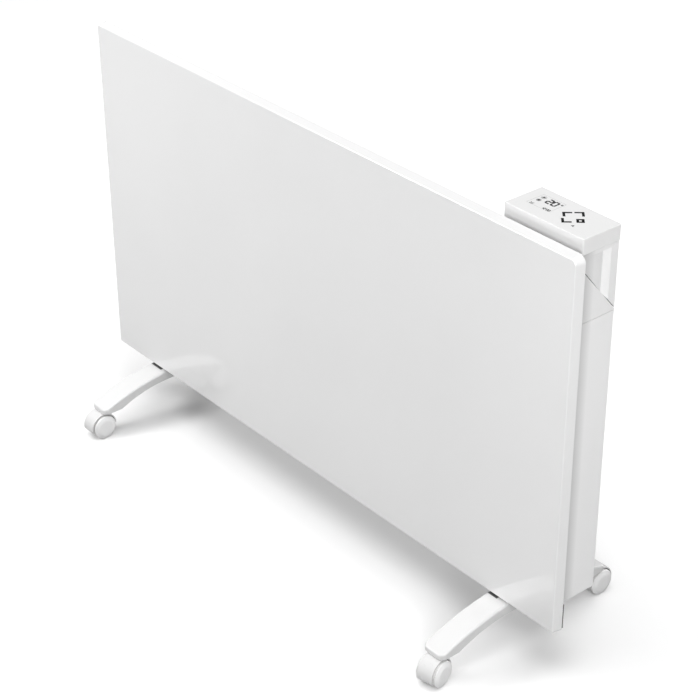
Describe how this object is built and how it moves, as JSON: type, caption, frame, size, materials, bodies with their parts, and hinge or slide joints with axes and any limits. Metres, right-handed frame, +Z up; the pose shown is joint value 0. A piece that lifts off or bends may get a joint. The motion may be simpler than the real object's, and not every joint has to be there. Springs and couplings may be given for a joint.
{
  "type": "panel convector heater",
  "caption": "Electric panel convector heater: folded steel panel and casing, sloped air outlet with louvre, touch control unit, and castored arched feet.",
  "frame": {"origin": "on the floor under the wheels, at the middle of the heater's outline", "axes": "+X to the right seen from the front, +Y to the rear (the glossy panel faces -Y), +Z up"},
  "size_m": [0.8264, 0.2944, 0.534],
  "materials": {
    "panel_enamel": "glossy white enamel",
    "casing_enamel": "satin white powder coat",
    "white_plastic": "satin moulded",
    "cap_plastic": "semi-gloss moulded, with printed marks on top",
    "foot_plastic": "semi-gloss moulded",
    "hood_plastic": "semi-gloss moulded",
    "wheel_plastic": "satin moulded",
    "guard_rubber": "dark grey",
    "pad_rubber": "dark grey",
    "zinc_steel": "zinc plated",
    "screw_steel": "zinc plated",
    "circuit_board": "green laminate with black parts",
    "display_glass": "pale display with dark figures",
    "switch_black": "satin black",
    "element_aluminium": "bare extruded",
    "ceramic": "unglazed ceramic",
    "cutout_plastic": "phenolic, with a metal plate and tabs",
    "sensor_plastic": "satin moulded",
    "gland_plastic": "satin moulded nylon",
    "harness_sleeve": "woven glass sleeve"
  },
  "bodies": {
    "heater": {"front_panel": "panel_enamel", "rim_guards": "guard_rubber", "panel_brackets": "zinc_steel", "front_shield": "casing_enamel", "rear_casing": "casing_enamel", "outlet_cheek_left": "white_plastic", "control_base": "white_plastic", "outlet_louvre": "white_plastic", "control_neck": "white_plastic", "control_cap": "cap_plastic", "control_board": "circuit_board", "display_module": "display_glass", "touch_pads": "pad_rubber", "power_board": "circuit_board", "switch_housing": "switch_black", "heating_element": "element_aluminium", "element_bushes": "ceramic", "element_bracket_left": "zinc_steel", "element_bracket_right": "zinc_steel", "bracket_screws": "screw_steel", "thermal_cutout": "cutout_plastic", "tilt_switch": "sensor_plastic", "room_sensor": "sensor_plastic", "cable_gland": "gland_plastic", "wire_harness": "harness_sleeve", "foot_left": "foot_plastic", "foot_right": "foot_plastic", "foot_screws": "screw_steel", "caster_stem_front_left": "screw_steel", "caster_stem_front_right": "screw_steel", "caster_stem_rear_left": "screw_steel", "caster_stem_rear_right": "screw_steel"},
    "caster_front_left": {"caster_hood_front_left": "hood_plastic", "caster_axle_front_left": "screw_steel"},
    "wheel_left_front_left": {"wheel_left_front_left": "wheel_plastic"},
    "wheel_right_front_left": {"wheel_right_front_left": "wheel_plastic"},
    "caster_front_right": {"caster_hood_front_right": "hood_plastic", "caster_axle_front_right": "screw_steel"},
    "wheel_left_front_right": {"wheel_left_front_right": "wheel_plastic"},
    "wheel_right_front_right": {"wheel_right_front_right": "wheel_plastic"},
    "caster_rear_left": {"caster_hood_rear_left": "hood_plastic", "caster_axle_rear_left": "screw_steel"},
    "wheel_left_rear_left": {"wheel_left_rear_left": "wheel_plastic"},
    "wheel_right_rear_left": {"wheel_right_rear_left": "wheel_plastic"},
    "caster_rear_right": {"caster_hood_rear_right": "hood_plastic", "caster_axle_rear_right": "screw_steel"},
    "wheel_left_rear_right": {"wheel_left_rear_right": "wheel_plastic"},
    "wheel_right_rear_right": {"wheel_right_rear_right": "wheel_plastic"},
    "rocker": {"switch_rocker": "switch_black"}
  },
  "joints": [
    {"name": "swivel_front_left", "type": "hinge", "parent": "heater", "child": "caster_front_left", "pos_m": [-0.325, -0.115, 0.036], "axis": [0, 0, 1], "continuous": true},
    {"name": "spin_left_front_left", "type": "hinge", "parent": "caster_front_left", "child": "wheel_left_front_left", "pos_m": [-0.325, -0.127, 0.016], "axis": [1, 0, 0], "continuous": true},
    {"name": "spin_right_front_left", "type": "hinge", "parent": "caster_front_left", "child": "wheel_right_front_left", "pos_m": [-0.325, -0.127, 0.016], "axis": [1, 0, 0], "continuous": true},
    {"name": "swivel_front_right", "type": "hinge", "parent": "heater", "child": "caster_front_right", "pos_m": [0.325, -0.115, 0.036], "axis": [0, 0, 1], "continuous": true},
    {"name": "spin_left_front_right", "type": "hinge", "parent": "caster_front_right", "child": "wheel_left_front_right", "pos_m": [0.32749, -0.12674, 0.016], "axis": [0.9781, 0.2079, 0], "continuous": true},
    {"name": "spin_right_front_right", "type": "hinge", "parent": "caster_front_right", "child": "wheel_right_front_right", "pos_m": [0.32749, -0.12674, 0.016], "axis": [0.9781, 0.2079, 0], "continuous": true},
    {"name": "swivel_rear_left", "type": "hinge", "parent": "heater", "child": "caster_rear_left", "pos_m": [-0.325, 0.115, 0.036], "axis": [0, 0, 1], "continuous": true},
    {"name": "spin_left_rear_left", "type": "hinge", "parent": "caster_rear_left", "child": "wheel_left_rear_left", "pos_m": [-0.32749, 0.12674, 0.016], "axis": [0.9781, 0.2079, 0], "continuous": true},
    {"name": "spin_right_rear_left", "type": "hinge", "parent": "caster_rear_left", "child": "wheel_right_rear_left", "pos_m": [-0.32749, 0.12674, 0.016], "axis": [0.9781, 0.2079, 0], "continuous": true},
    {"name": "swivel_rear_right", "type": "hinge", "parent": "heater", "child": "caster_rear_right", "pos_m": [0.325, 0.115, 0.036], "axis": [0, 0, 1], "continuous": true},
    {"name": "spin_left_rear_right", "type": "hinge", "parent": "caster_rear_right", "child": "wheel_left_rear_right", "pos_m": [0.325, 0.127, 0.016], "axis": [1, 0, 0], "continuous": true},
    {"name": "spin_right_rear_right", "type": "hinge", "parent": "caster_rear_right", "child": "wheel_right_rear_right", "pos_m": [0.325, 0.127, 0.016], "axis": [1, 0, 0], "continuous": true},
    {"name": "rocker_tip", "type": "hinge", "parent": "heater", "child": "rocker", "pos_m": [0.33, 0.0395, 0.5], "axis": [1, 0, 0], "range_deg": [0, 16]}
  ]
}
